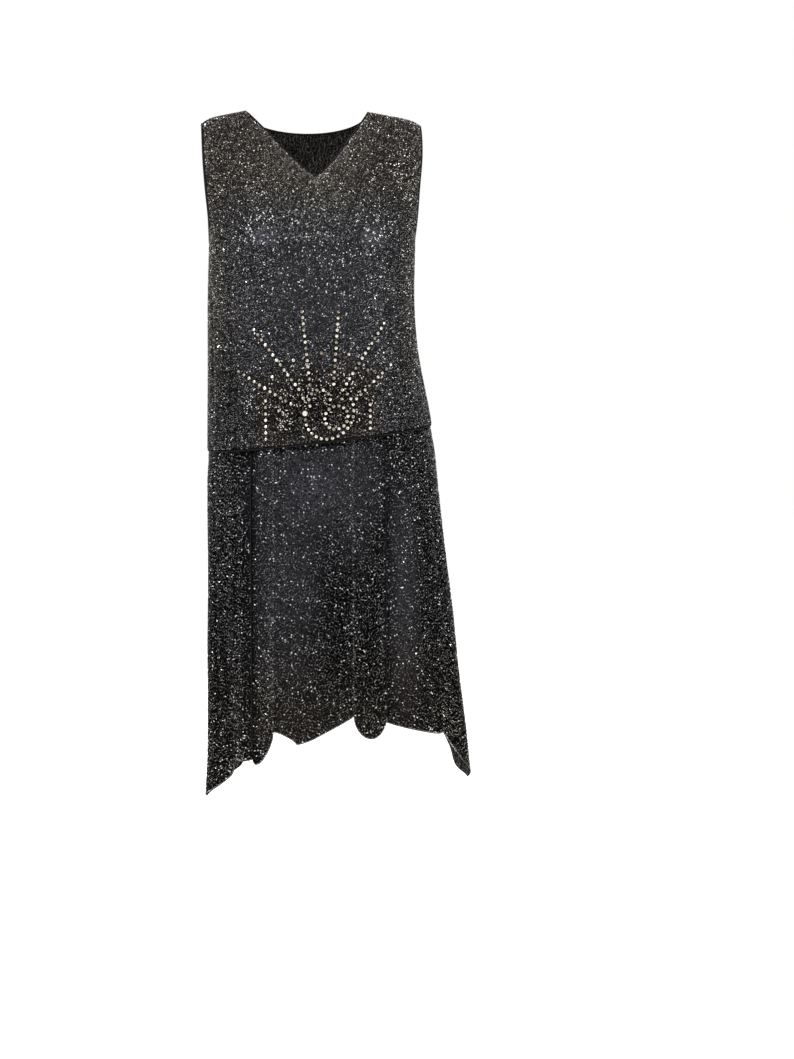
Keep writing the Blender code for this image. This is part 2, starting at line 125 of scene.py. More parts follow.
# Scallops: start and end as shares of the width, drop at each, sag, shape of the belly
roundLobe, longLobe = 0.5, 1.0
hems = {
    "frontSkirt": metres((2, 3, 4), (
        (0, 0.168, 957, 918, 22, roundLobe), (0.168, 0.321, 918, 938, -4, roundLobe),
        (0.321, 0.748, 938, 906, 7, roundLobe), (0.748, 1, 906, 915, 34, roundLobe),
    )),
    "backSkirt": [(i / 4, (i + 1) / 4, 0.935, 0.935, 0.020, roundLobe) for i in range(4)],
    "sidePanelRight": metres((2, 3, 4), (
        (0, 0.17, 952, 960, 6, roundLobe), (0.17, 0.22, 960, 988, 2, longLobe),
        (0.22, 0.5, 988, 1034, 6, longLobe), (0.5, 0.74, 1034, 1022, 6, roundLobe),
        (0.74, 0.92, 1022, 1020, 12, roundLobe), (0.92, 1, 1020, 958, 2, longLobe),
    )),
    "sidePanelLeft": metres((2, 3, 4), (
        (0, 0.27, 914, 962, 9, roundLobe), (0.27, 0.34, 962, 1014, 0, longLobe),
        (0.34, 0.5, 1014, 1058, 10, longLobe), (0.5, 0.74, 1058, 968, 21, longLobe),
        (0.74, 1, 968, 945, 14, roundLobe),
    )),
}
# Creases pressed and hung into the cloth: from (angle, drop) to (angle, drop), width, depth
degreeOfGirth = 0.0030  # metres round the dress for one degree
creaseEnds = {"least": 0.35, "from": 0.12, "to": 0.92}  # how far it fades, as shares of half a wave
bodiceCreases = metres((1, 3, 4, 5), (
    (50, 160, 47, 460, 9, -3), (43, 220, 41, 470, 10, 1.8), (-52, 170, -48, 470, 10, -2.6),
    (-60, 200, -34, 155, 7, -2.2), (60, 200, 33, 160, 7, -2.2), (-66, 230, -40, 235, 8, -1.8),
    (64, 240, 40, 230, 8, -1.6), (-36, 335, 6, 350, 10, -1.6), (-12, 372, 34, 360, 11, -1.5),
    (-24, 285, 14, 300, 10, -1), (-31, 455, -30, 492, 4, -1.3), (-17, 462, -18, 492, 3, -1.2),
    (-6, 458, -5, 492, 4, -1.1), (9, 464, 10, 492, 3, -1.2), (21, 460, 22, 492, 4, -1.3),
    (33, 452, 34, 492, 3, -1.2), (72, 250, 76, 450, 9, -2.4), (-74, 270, -70, 460, 9, -2.4),
    (118, 140, 132, 300, 10, -2.6), (-118, 140, -130, 310, 10, -2.6),
    (150, 300, -168, 325, 11, -1.8), (-150, 345, 176, 365, 11, -1.8),
    (140, 380, 146, 480, 9, -2.2), (-142, 360, -138, 480, 9, -2.2),
    (166, 400, 164, 490, 7, -1.8), (-172, 420, -170, 490, 7, -1.8),
))
skirtCreases = metres((1, 3, 4, 5), (
    (-20, 500, -21, 640, 4.5, -2), (-9, 500, -8, 610, 4, -1.8), (-1, 498, 0, 660, 5, -2),
    (12, 500, 13, 590, 4, -1.4), (24, 500, 22, 620, 4.5, -1.6), (-28, 560, -30, 820, 7, -2.2),
    (-14, 640, -16, 880, 8, 1.8), (3, 620, 4, 900, 7, -1.8), (19, 600, 20, 880, 7, -1.8),
    (40, 540, 42, 900, 8, -2.4), (60, 520, 64, 920, 8, -2.4), (80, 510, 84, 960, 8.5, -2.6),
    (93, 540, 92, 990, 8, 2), (112, 520, 116, 900, 8.5, -2.4), (140, 520, 141, 880, 8, -2.4),
    (163, 505, 162, 700, 6, -2), (178, 505, 177, 780, 7, -2), (-166, 505, -167, 740, 6, -2),
    (-147, 520, -145, 880, 8, -2.4), (-118, 520, -119, 920, 8.5, -2.6),
    (-92, 520, -94, 980, 8.5, -2.6), (-70, 520, -68, 940, 8, -2.4),
    (-47, 520, -50, 900, 8, -2.4),
))


def smoothStep(low, high, value):
    t = np.clip((value - low) / (high - low), 0, 1)
    return t * t * (3 - 2 * t)


def unit(vectors):
    return vectors / np.linalg.norm(vectors, axis=-1, keepdims=True)


def levelAt(name, drop):  # the table's column at any drop, on a smooth curve through its rows
    drops, values = levels["drop"], levels[name]
    last = len(drops) - 2
    at = np.clip(np.searchsorted(drops, drop, side="right") - 1, 0, last)

    def slope(i):
        low, high = np.maximum(i - 1, 0), np.minimum(i + 1, last + 1)
        return (values[high] - values[low]) / (drops[high] - drops[low])

    span = drops[at + 1] - drops[at]
    t = np.clip((drop - drops[at]) / span, 0, 1)
    start = (1 + 2 * t) * (1 - t) ** 2 * values[at] + t * (1 - t) ** 2 * span * slope(at)
    return start + t * t * (3 - 2 * t) * values[at + 1] - t * t * (1 - t) * span * slope(at + 1)


def corner(value):
    return np.maximum(0, value) ** (2 / form["squareness"])


def shoulderFall(x, drop):
    width = form["shoulderHalfWidth"] - form["neckHalfWidth"] - np.sign(x) * form["neckShift"]
    along = np.clip((np.abs(x - form["neckShift"]) - form["neckHalfWidth"]) / width, 0, 1)
    rounded = (1 - form["shoulderTip"]) * along + form["shoulderTip"] * along**8
    return form["shoulderFall"] * rounded * (1 - smoothStep(0, form["armholeDepth"], drop))


def bust(x, drop):
    aside = (np.abs(x) - form["bustX"]) / form["bustSpread"]
    hang = np.where(drop < form["bustDrop"], form["bustSpread"], form["bustHang"])
    below = (drop - form["bustDrop"]) / hang
    towardSeam = 1 - smoothStep(form["bustEase"], form["bustEnd"], np.abs(x))
    return form["bustFullness"] * np.exp(-(aside**2 + below**2) / 2) * towardSeam


def clothPoint(side, turn, drop, lift=0.0):  # side -1 is the front; turn from its centre
    arc = np.radians(levelAt("arc", drop))
    left = np.minimum(1, drop / form["shoulderRounding"])
    roundOver = np.sqrt(np.maximum(0, 1 - (1 - left) ** 2))
    labels, top = ("front", "frontEdge") if side < 0 else ("back", "backEdge"), form["shoulderY"]
    centreY, edgeY = (top + (levelAt(label, drop) - top) * roundOver for label in labels)
    centreY = centreY + side * lift
    edgeY = np.where(drop < form["armholeDepth"], edgeY, 0)
    half = levelAt("halfWidth", drop) + lift
    x = np.sign(turn) * half * corner(np.sin(np.abs(turn))) / corner(np.sin(arc))
    edgeShare = corner(np.cos(arc))
    y = edgeY + (centreY - edgeY) * (corner(np.cos(turn)) - edgeShare) / (1 - edgeShare)
    y = y + side * form["seamGap"] / 2 - (bust(x, drop) * roundOver if side < 0 else 0)
    tilt = form["hipTilt"] * x * smoothStep(form["tiltStart"], form["hipSeam"], drop)
    z = tilt - drop - shoulderFall(x, drop)
    return np.stack(np.broadcast_arrays(x + levelAt("shift", drop), y, z), axis=-1)


def turnAt(x, drop):  # the turn of the point of a front or back that stands at x
    arc = np.radians(levelAt("arc", drop))
    share = (x - levelAt("shift", drop)) / levelAt("halfWidth", drop)
    sine = np.minimum(1, np.abs(share) ** (form["squareness"] / 2) * np.sin(arc))
    return np.sign(share) * np.arcsin(sine)


def surface(side, turn, drop):  # points of the cloth and which way they face
    step = 1e-3
    across = clothPoint(side, turn + step, drop) - clothPoint(side, turn - step, drop)
    down = clothPoint(side, turn, drop + step) - clothPoint(side, turn, np.maximum(0, drop - step))
    return clothPoint(side, turn, drop), unit(np.cross(across, down) * side)


def wrapped(degrees):
    return (degrees + 180) % 360 - 180


def foldLift(angle, drop):
    total = 0
    for foldAngle, width, depth, start in hangingFolds:
        off = wrapped(angle - foldAngle)
        wave = np.where(np.abs(off) < width / 2, (1 + np.cos(math.tau * off / width)) / 2, 0)
        total = total + depth * wave * smoothStep(start, form["foldFull"], drop)
    return total


def creaseLift(creases, angle, drop):
    total = 0
    for angleA, dropA, angleB, dropB, width, depth in creases:
        alongX, alongY = wrapped(angleB - angleA) * degreeOfGirth, dropB - dropA
        offX, offY = wrapped(angle - angleA) * degreeOfGirth, drop - dropA
        at = np.clip((offX * alongX + offY * alongY) / (alongX**2 + alongY**2), 0, 1)
        away = (offX - alongX * at) ** 2 + (offY - alongY * at) ** 2
        wave = np.sin(np.pi * (creaseEnds["from"] + (creaseEnds["to"] - creaseEnds["from"]) * at))
        fade = creaseEnds["least"] + (1 - creaseEnds["least"]) * wave
        total = total + depth * fade * np.exp(-away / (2 * (width / 2) ** 2))
    return total


def hemDrops(lobes, shares):
    drops = np.zeros_like(shares)
    for start, end, startDrop, endDrop, sag, shape in lobes:
        inside = (shares >= start) & (shares <= end)
        along = np.clip((shares - start) / (end - start), 0, 1)
        hem = startDrop + (endDrop - startDrop) * along + sag * (4 * along * (1 - along)) ** shape
        drops = np.where(inside, hem, drops)
    return drops


def hemShares(lobes, perMetre, width):  # columns crowd towards the notches between scallops
    shares = []
    for start, end, *_ in lobes:
        count = max(6, round((end - start) * width * perMetre))
        half = (end - start) / 2
        shares += [start + half * (1 - math.cos(math.pi * i / count)) for i in range(count)]
    return np.array(shares + [lobes[-1][1]])


def sheetNormals(points):
    return unit(np.cross(np.gradient(points, axis=0), np.gradient(points, axis=1)))


class ClothSheet:  # a piece of cloth as rows of points, with what lies on it measured in metres
    def __init__(self, name, angle, drop, points):
        self.name, self.angle, self.drop, self.points = name, angle, drop, points
        self.normals = sheetNormals(points)
        stepAcross = np.linalg.norm(np.diff(points, axis=1), axis=-1)
        stepDown = np.linalg.norm(np.diff(points, axis=0), axis=-1)
        self.acrossAt = np.append(0, np.cumsum(stepAcross.mean(axis=0)))
        self.downAt = np.append(0, np.cumsum(stepDown.mean(axis=1)))
        self.width, self.length = self.acrossAt[-1], self.downAt[-1]
        self.cutWidth = stepAcross.sum(axis=1).max()
        self.cutLength = stepDown.sum(axis=0).max()
        wide, high = stepAcross[1:] + stepAcross[:-1], stepDown[:, 1:] + stepDown[:, :-1]
        self.area = (wide * high / 4).sum()

    def pick(self, values, across, down):  # values of the grid at distances in metres
        cells = []
        for wanted, at in ((across, self.acrossAt), (down, self.downAt)):
            found = np.interp(wanted, at, np.arange(len(at)))
            whole = np.minimum(found.astype(int), len(at) - 2)
            cells.append((whole, found - whole))
        (j, u), (i, v) = cells
        if values.ndim == 3:
            u, v = u[:, None], v[:, None]
        upper = values[i, j] * (1 - u) + values[i, j + 1] * u
        lower = values[i + 1, j] * (1 - u) + values[i + 1, j + 1] * u
        return upper * (1 - v) + lower * v

    def place(self, across, down):  # points on the sheet and which way they face
        return self.pick(self.points, across, down), unit(self.pick(self.normals, across, down))


bodiceGrid = {"neckColumns": 20, "shoulderColumns": 22, "armholeRows": 34, "waistRows": 50}


def frontNeck(x, drop):  # how far across the neck, and the front edge's drop there
    middle = form["neckShift"] * (1 - drop / form["frontNeckDepth"])
    aside = np.abs(x - middle) / form["neckHalfWidth"]
    return aside, form["frontNeckDepth"] * (1 - np.minimum(1, aside) ** form["frontNeckCurve"])


def necklineDrop(side, turn):
    drop = np.zeros_like(turn)
    for _ in range(30):  # each pass halves what is left
        aside, wanted = frontNeck(clothPoint(side, turn, drop)[..., 0], drop)
        if side > 0:
            wanted = form["backNeckDepth"] * np.sqrt(1 - np.minimum(1, aside) ** 2)
        drop = drop + (wanted - drop) / 2
    return np.where(drop > 1e-5, drop, 0)


def bodiceTop(side):  # shares of the arc from right to left and the drop of the top edge over each
    arc = math.radians(levels["arc"][0])
    halves = []
    for sign in (-1, 1):
        neckX = np.array(form["neckShift"] + sign * form["neckHalfWidth"])
        neckShare = abs(float(turnAt(neckX, np.array(0.0)))) / arc
        neck = np.linspace(0, neckShare, bodiceGrid["neckColumns"], endpoint=False)
        shoulder = np.linspace(neckShare, 1, bodiceGrid["shoulderColumns"] + 1)
        halves.append(sign * np.append(neck, shoulder))
    shares = np.append(halves[0][:0:-1], halves[1])
    return shares, necklineDrop(side, shares * arc)


def bodiceSheet(name, side):
    shares, tops = bodiceTop(side)
    upper, lower, deep = bodiceGrid["armholeRows"], bodiceGrid["waistRows"], form["armholeDepth"]
    upper = tops + (deep - tops) * (np.arange(upper) / upper)[:, None] ** 2
    lower = deep + (form["hipSeam"] - deep) * (np.arange(lower + 1) / lower)[:, None] + 0 * tops
    drop = np.vstack((upper, lower))
    turn = shares * np.radians(levelAt("arc", drop))
    degrees = np.degrees(turn)
    angle = degrees if side < 0 else np.where(degrees >= 0, 180 - degrees, -180 - degrees)
    points = clothPoint(side, turn, drop)
    normals = sheetNormals(points) * -side
    points = points + normals * creaseLift(bodiceCreases, angle, drop)[..., None]
    if side > 0:
        points, angle, drop = (a[:, ::-1] for a in (points, angle, drop))
    return ClothSheet(name, angle, drop, points)


skirtGrid = {"columnsPerMetre": 250, "rows": 84, "sideWidth": 0.33}
# The centre panels' edges curl out a little, and the side panels fall back beside them
panelEdge = {
    "curl": 0.0012,
    "curlShare": 0.035,
    "curlDrops": (0.50, 0.60),
    "under": (0.03, 0.09),  # radians past the covering edge where the lap ends
    "gap": 0.0030,
    "gapAt": 0.01,
    "spread": 0.05,
}


def skirtPoint(angle, drop, lift):  # angle in radians from the centre front, up to half a turn
    side = np.where(np.abs(angle) <= math.pi / 2, -1, 1)
    turn = np.where(side < 0, angle, np.sign(angle) * (math.pi - np.abs(angle)))
    lift = lift + foldLift(np.degrees(angle), drop)
    front, back = clothPoint(-1, turn, drop, lift), clothPoint(1, turn, drop, lift)
    return np.where((side < 0)[..., None], front, back)


def skirtEase(drop):
    return -form["layer"] * (1 - smoothStep(form["hipSeam"], form["hipEaseEnd"], drop))


def panelDrops(name, width):  # shares of a panel's width, and the drop of each row under each
    shares = hemShares(hems[name], skirtGrid["columnsPerMetre"], width)
    top = form["hipSeam"] - form["hipLap"]
    down = (np.arange(skirtGrid["rows"] + 1) / skirtGrid["rows"])[:, None]
    return shares, top + (hemDrops(hems[name], shares) - top) * down


def skirtSheet(name, angle, drop, lift, turned):
    if turned:
        angle, drop, lift = (a[:, ::-1] for a in (angle, drop, lift))
    degrees = np.degrees(angle)
    lift = lift + creaseLift(skirtCreases, degrees, drop)
    return ClothSheet(name, degrees, drop, skirtPoint(angle, drop, lift))


def centrePanelSheet(name, side):
    shares, drop = panelDrops(name, 2 * form["panelHalfWidth"])
    turn = turnAt(form["panelHalfWidth"] * (2 * shares - 1) + 0 * drop, drop)
    angle = turn if side < 0 else np.where(turn >= 0, math.pi - turn, -math.pi - turn)
    curl = np.exp(-np.minimum(shares, 1 - shares) / panelEdge["curlShare"])
    curl = panelEdge["curl"] * curl * smoothStep(*panelEdge["curlDrops"], drop)
    return skirtSheet(name, angle, drop, skirtEase(drop) + curl, side > 0)


def sidePanelSheet(name, side):
    shares, drop = panelDrops(name, skirtGrid["sideWidth"])
    lapped = np.abs(turnAt(side * (form["panelHalfWidth"] - form["panelLap"]) + 0 * drop, drop))
    covered = np.abs(turnAt(side * form["panelHalfWidth"] + 0 * drop, drop))
    angle = lapped + (math.pi - 2 * lapped) * shares
    edge = np.minimum(angle - covered, math.pi - covered - angle)  # how far past the covering edge
    under = form["layer"] * (1 - smoothStep(*panelEdge["under"], edge))
    away = (edge - panelEdge["gapAt"]) / panelEdge["spread"]
    under = under + panelEdge["gap"] * np.exp(-(away**2))
    return skirtSheet(name, side * angle, drop, skirtEase(drop) - under, side < 0)


sheets = {
    name: cut(name, side)
    for name, cut, side in (
        ("frontBodice", bodiceSheet, -1),
        ("backBodice", bodiceSheet, 1),
        ("frontSkirt", centrePanelSheet, -1),
        ("backSkirt", centrePanelSheet, 1),
        ("sidePanelRight", sidePanelSheet, -1),
        ("sidePanelLeft", sidePanelSheet, 1),
    )
}
for sheet in sheets.values():
    print(f"cut {sheet.name}: {sheet.cutWidth:.3f} x {sheet.cutLength:.3f} m, {sheet.area:.4f} m2")


def sumOf(operation, swapped=False):  # one operator between a socket and a number or another socket
    def method(self, other):
        first, second = (other, self) if swapped else (self, other)
        return self.nodes.add("ShaderNodeMath", {"operation": operation}, {0: first, 1: second})

    return method


class Signal:  # a socket that takes part in sums
    def __init__(self, nodes, socket):
        self.nodes, self.socket = nodes, socket

    __add__, __radd__ = sumOf("ADD"), sumOf("ADD", True)
    __sub__, __rsub__ = sumOf("SUBTRACT"), sumOf("SUBTRACT", True)
    __mul__, __rmul__ = sumOf("MULTIPLY"), sumOf("MULTIPLY", True)


class Nodes:  # a tree of nodes and the short ways to add to it
    def __init__(self, tree):
        self.tree = tree

    def join(self, value, socket):
        if isinstance(value, Signal):
            self.tree.links.new(value.socket, socket)
        else:
            socket.default_value = value

    def add(self, kind, settings=None, sockets=None, out=0):
        node = self.tree.nodes.new(kind)
        for label, value in (settings or {}).items():
            if label == "stops":
                while len(node.color_ramp.elements) < len(value):
                    node.color_ramp.elements.new(0.5)
                for element, (at, colour) in zip(node.color_ramp.elements, value):
                    element.position, element.color = at, colour
            else:
                setattr(node, label, value)
        for label, value in (sockets or {}).items():
            self.join(value, node.inputs[label])
        return Signal(self, node.outputs[out])

    def mix(self, factor, first, second, blend="MIX"):
        settings = {"data_type": "RGBA", "blend_type": blend}
        return self.add("ShaderNodeMix", settings, {0: factor, 6: first, 7: second}, out=2)

    def own(self, label):  # a number that the mesh carries
        settings = {"attribute_type": "GEOMETRY", "attribute_name": label}
        return self.add("ShaderNodeAttribute", settings, out=2)

    def place(self):  # the object's own coordinates
        return self.add("ShaderNodeTexCoord", out=3)

    def noise(self, place, scale, detail):
        sockets = {"Vector": place, "Scale": scale, "Detail": detail}
        return self.add("ShaderNodeTexNoise", None, sockets)

    def ramp(self, value, stops):
        stops = [(at, tone(colour)) for at, colour in stops]
        return self.add("ShaderNodeValToRGB", {"stops": stops}, {0: value})


class Paint(Nodes):  # one material
    def __init__(self, name, fixed):
        self.material = bpy.data.materials.new(name)
        self.material.use_nodes = True
        super().__init__(self.material.node_tree)
        self.shader = self.tree.nodes["Principled BSDF"]
        for label, value in fixed.items():
            self.shader.inputs[label].default_value = value

    def feed(self, label, value):
        self.join(value, self.shader.inputs[label])

    def roughen(self, roughness, value):  # a least roughness and how much the value adds
        self.feed("Roughness", value * roughness[1] + roughness[0])

    def emboss(self, height, distance, strength):
        sockets = {"Height": height, "Distance": distance, "Strength": strength}
        self.feed("Normal", self.add("ShaderNodeBump", None, sockets))


def tone(hexCode):  # a screen colour as light
    channels = [int(hexCode[i : i + 2], 16) / 255 for i in (0, 2, 4)]
    return (*(c / 12.92 if c <= 0.04045 else ((c + 0.055) / 1.055) ** 2.4 for c in channels), 1)


clothFinish = {
    "shader": {"Specular IOR Level": 0.03},
    "coolDark": tone("020202"),
    "warmDark": tone("040303"),
    "coolVeil": tone("2b2b2f"),
    "warmVeil": tone("2d2927"),
    "paintedGleam": tone("74747f"),  # a painted highlight where the veil runs past 1, most over the bust's fullness
    "paintedGleamRise": 1.6,
    "insideThread": tone("5e5c59"),
    "chain": {"Scale": 60.0, "Distortion": 9.0, "Detail": 1.0, "Detail Scale": 2.0},
    "chainShows": (0.80, 5),  # from this height of the wave, and how sharply
    "backs": 330.0,  # how close the backs of the beads lie
    "backShows": (0.34, 6),
    "weavePitch": 0.00055,
    "weave": {"Distortion": 1.5, "Detail": 1.0},
    "weaveBump": (0.00012, 0.6),  # depth, strength
    "weaveShade": 0.16,
    "blots": (60.0, 3.0),  # scale, detail
    "grains": (380.0, 1.0),
    "mottle": 0.42,
    "grain": 4.2,  # how strongly the ground darkens in small spots
    "shade": 0.92,
    "shades": {"Min": 0.04, "Max": 1.9},
    "roughness": (0.74, 0.2),
}
waveScale = math.tau / 20  # the wave texture's own


def clothPaint(name, inside):
    paint = Paint(name, clothFinish["shader"])
    warmth, veil, place = paint.own("warmth"), paint.own("veil"), paint.place()
    dark = paint.mix(warmth, clothFinish["coolDark"], clothFinish["warmDark"])
    pale = paint.mix(warmth, clothFinish["coolVeil"], clothFinish["warmVeil"])
    ground = paint.mix(veil, dark, pale)
    # painted highlight: past 1 the veil turns the ground towards the painted gleam
    ground = paint.mix((veil - 1) * clothFinish["paintedGleamRise"], ground, clothFinish["paintedGleam"])
    if inside:  # the sewing thread and the backs of the beads show through the thin cloth
        chain = {"Vector": place, **clothFinish["chain"]}
        chain = paint.add("ShaderNodeTexWave", None, chain, out=1)
        backs = {"Vector": place, "Scale": clothFinish["backs"]}
        backs = paint.add("ShaderNodeTexVoronoi", None, backs)
        wide, sharp = clothFinish["backShows"]
        least, crisp = clothFinish["chainShows"]
        shown = {0: (wide - backs) * sharp, 1: (chain - least) * crisp}
        through = paint.add("ShaderNodeMath", {"operation": "MAXIMUM"}, shown)
        ground = paint.mix(through, ground, clothFinish["insideThread"])
    blots, grain = (paint.noise(place, *clothFinish[spots]) for spots in ("blots", "grains"))
    threads = waveScale / clothFinish["weavePitch"]
    sockets = {"Vector": place, "Scale": threads, **clothFinish["weave"]}
    warp, weft = (
        paint.add("ShaderNodeTexWave", {"bands_direction": way}, sockets, out=1) for way in "XZ"
    )
    weave = warp * weft
    shade = clothFinish["shade"] - clothFinish["mottle"] + blots * (2 * clothFinish["mottle"])
    shade = shade + weave * clothFinish["weaveShade"] + (grain - 0.5) * clothFinish["grain"]
    shade = paint.add("ShaderNodeClamp", None, {"Value": shade, **clothFinish["shades"]})
    shadeColour = paint.add("ShaderNodeCombineColor", None, {0: shade, 1: shade, 2: shade})
    paint.feed("Base Color", paint.mix(1.0, ground, shadeColour, "MULTIPLY"))
    paint.roughen(clothFinish["roughness"], blots)
    paint.emboss(weave, *clothFinish["weaveBump"])
    return paint.material


beadFinish = {
    "shader": {"Metallic": 0.35, "Specular IOR Level": 0.3},
    "glints": ((0, "030304"), (0.25, "3f3f41"), (0.5, "7f8082"), (0.75, "bebfc2"), (1, "ffffff")),
    "warmer": ((0, "040303"), (0.25, "433f3b"), (0.5, "858079"), (0.75, "c3beb6"), (1, "fffcf6")),
    "roughness": (0.40, -0.18),
}
stoneFinish = {
    "shader": {"Metallic": 0.5, "Specular IOR Level": 0.8, "IOR": 1.55},
    "glints": ((0, "201b16"), (0.3, "857a69"), (0.6, "d6ccb9"), (0.85, "faf5ea"), (1, "ffffff")),
    "roughness": (0.20, -0.1),
}
settingFinish = {
    "shader": {"Metallic": 0.8},
    "dark": tone("120f0c"),
    "pale": tone("5a5144"),
    "spots": (400.0, 2.0),  # scale, detail
    "roughness": (0.35, 0.25),
}
bindingFinish = {
    "shader": {"Specular IOR Level": 0.2},
    "dark": tone("030304"),
    "pale": tone("17181d"),
    "spots": (700.0, 4.0),
    "bump": (0.0003, 0.7),  # depth, strength
    "roughness": (0.65, 0.25),
}


def shiningPaint(name, finish):  # brighter or duller by the number that each bead or facet carries, painted glints among them
    paint = Paint(name, finish["shader"])
    shine = paint.own("tone")
    colour = paint.ramp(shine, finish["glints"])
    if "warmer" in finish:
        colour = paint.mix(paint.own("warmth"), colour, paint.ramp(shine, finish["warmer"]))
    paint.feed("Base Color", colour)
    paint.roughen(finish["roughness"], shine)
    return paint.material


def spottedPaint(name, finish):  # worn metal, or slubs in a thread
    paint = Paint(name, finish["shader"])
    spots = paint.noise(paint.place(), *finish["spots"])
    paint.feed("Base Color", paint.mix(spots, finish["dark"], finish["pale"]))
    paint.roughen(finish["roughness"], spots)
    if "bump" in finish:
        paint.emboss(spots, *finish["bump"])
    return paint.material


paints = {
    "cloth": clothPaint("beadedClothGround", False),
    "inside": clothPaint("clothInside", True),
    "beads": shiningPaint("glassBeads", beadFinish),
    "stones": shiningPaint("cutStones", stoneFinish),
    "settings": spottedPaint("stoneSettings", settingFinish),
    "binding": spottedPaint("rolledBinding", bindingFinish),
}
print("finishes mixed")


def linked(name, data):
    thing = bpy.data.objects.new(name, data)
    bpy.context.scene.collection.objects.link(thing)
    return thing


def solidOf(name):  # the solid that a piece stands for has its name in small letters
    return "".join("_" + letter.lower() if letter.isupper() else letter for letter in name)


def newPiece(name, data, finishes, replaced=()):
    for finish in finishes:
        data.materials.append(paints[finish])
    piece = linked(name, data)
    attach(piece, "root")
    if replaced:
        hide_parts(*replaced)
    return piece


def meshFrom(name, corners, faces, numbers=None, domain="POINT", smooth=False):
    mesh = bpy.data.meshes.new(name)
    mesh.from_pydata(corners, (), faces, shade_flat=not smooth)
    for label, values in (numbers or {}).items():
        held = mesh.attributes.new(label, "FLOAT", domain)
        held.data.foreach_set("value", np.asarray(values, dtype=np.float32).ravel())
    return mesh


# Where the cloth looks warm or cool, where it is stretched and looks paler, and where shade and
# highlights are painted in. A pair gives the drops, or the distances from the middle or from an
# edge, between which a place fades
regions = {
    "yoke": (0.105, 0.195),
    "flank": (0.105, 0.15),
    "flankFoot": (0.36, 0.48),
    "flankWarmth": 0.85,
    "low": (0.36, 0.41),
    "lowFoot": (0.493, 0.497),
    "lowSide": (0.087, 0.103),
    "lowWarmth": (0.95, 0.57),  # at the front and the back
    "hem": (0.72, 0.90),
    "hemWarmth": (0.90, 0.45),
    "bodice": 0.52,  # the ordinary veil
    "skirt": 0.02,
    "seamBlend": 0.002,
    "side": (0.11, 0.16),
    "sideLoss": 0.55,  # how much of the veil goes towards the sides, a painted shade where the form turns away
    "backVeil": 0.6,
    "neckShade": (0.003, 0.018),  # the cloth is darker beside the neck's binding: partly painted shade, partly darker cloth
    "neckReach": 1.05,
    "neckLoss": 0.85,
    "mostVeil": 1.35,
    "edgeShade": (0.0032, 0.016),  # painted shadow: the cloth is darkest beside the panels' lapped edges
    "lapShade": 0.0045,  # half the height of the shade under the bodice's edge
    # the two patches at the bust, past 1, are painted highlights
    # x, drop, half width, half height, veil
    "patches": metres((0, 1, 2, 3), (
        (0, 40, 160, 80, 0.7), (-78, 192, 30, 22, 1.35), (82, 190, 30, 22, 1.35),
        (0, 270, 100, 90, 1), (10, 350, 85, 40, 0.6), (0, 560, 100, 75, 1.05),
        (-45, 680, 55, 120, 0.75), (-50, 800, 60, 80, 0.5), (50, 640, 30, 60, 0.6),
        (130, 740, 26, 180, 0.9), (-20, 900, 110, 50, 0.34),
    )),
    # Dark places: the dark ground round the fan of stones, and painted shade on the flanks, in a
    # fold and at the skirt's sides where the light falls off
    "dark": metres((0, 1, 2, 3), (  # x, drop, half width, half height, how much of the veil goes
        (0, 440, 100, 50, 1), (-130, 440, 30, 90, 0.6), (130, 440, 30, 90, 0.6),
        (45, 780, 45, 120, 0.8), (-150, 760, 40, 230, 1), (175, 740, 25, 230, 0.9),
    )),
}


def near(x, drop, spots, power):  # (nearness, strength) of each soft spot
    for middleX, middleDrop, wide, high, strength in spots:
        away = np.abs((x - middleX) / wide) ** power + np.abs((drop - middleDrop) / high) ** power
        yield np.exp(-away), strength


def fade(label, value):  # 0 before the region's first number, 1 past its second
    return smoothStep(*regions[label], value)


def warmthAt(x, drop, front):
    aside = np.abs(x)
    yoke = 1 - fade("yoke", drop)
    flank = fade("flank", aside) * (1 - fade("flankFoot", drop))
    low = fade("low", drop) * (1 - fade("lowFoot", drop))
    low = low * (1 - fade("lowSide", aside))
    low = low * np.where(front, *regions["lowWarmth"])
    hem = fade("hem", drop) * np.where(front, *regions["hemWarmth"])
    return np.maximum.reduce([yoke, regions["flankWarmth"] * flank, low, hem]).clip(0, 1)


# how much darker each place is: dark ground, painted shade, and a painted shadow under the bodice's
# edge
def darkGroundAndShadeAt(x, drop):
    left = np.ones_like(drop)
    for nearness, gone in near(x, drop, regions["dark"], 3):
        left = left * (1 - gone * nearness)
    # painted shadow under the bodice's edge
    lap = np.exp(-(((drop - form["hipSeam"] - regions["lapShade"]) / regions["lapShade"]) ** 4))
    return 1 - left * (1 - lap)


def veilAt(x, drop, front):
    blend = regions["seamBlend"]
    onBodice = 1 - smoothStep(form["hipSeam"] - blend, form["hipSeam"] + blend, drop)
    seen = regions["skirt"] + (regions["bodice"] - regions["skirt"]) * onBodice
    seen = seen * (1 - regions["sideLoss"] * fade("side", np.abs(x)))
    for nearness, most in near(x, drop, regions["patches"], 3):
        seen = np.maximum(seen, most * nearness * np.where(front, 1, regions["backVeil"]))
    aside, neckline = frontNeck(x, drop)
    # painted shade beside the neck's binding, with the cloth's own darker edge
    atNeck = 1 - fade("neckShade", np.abs(drop - neckline))
    seen = seen * (1 - regions["neckLoss"] * atNeck * (aside < regions["neckReach"]) * front)
    # the dark ground and the painted shade take the veil away
    return (seen * (1 - darkGroundAndShadeAt(x, drop))).clip(0, regions["mostVeil"])


clothThickness = 0.0008


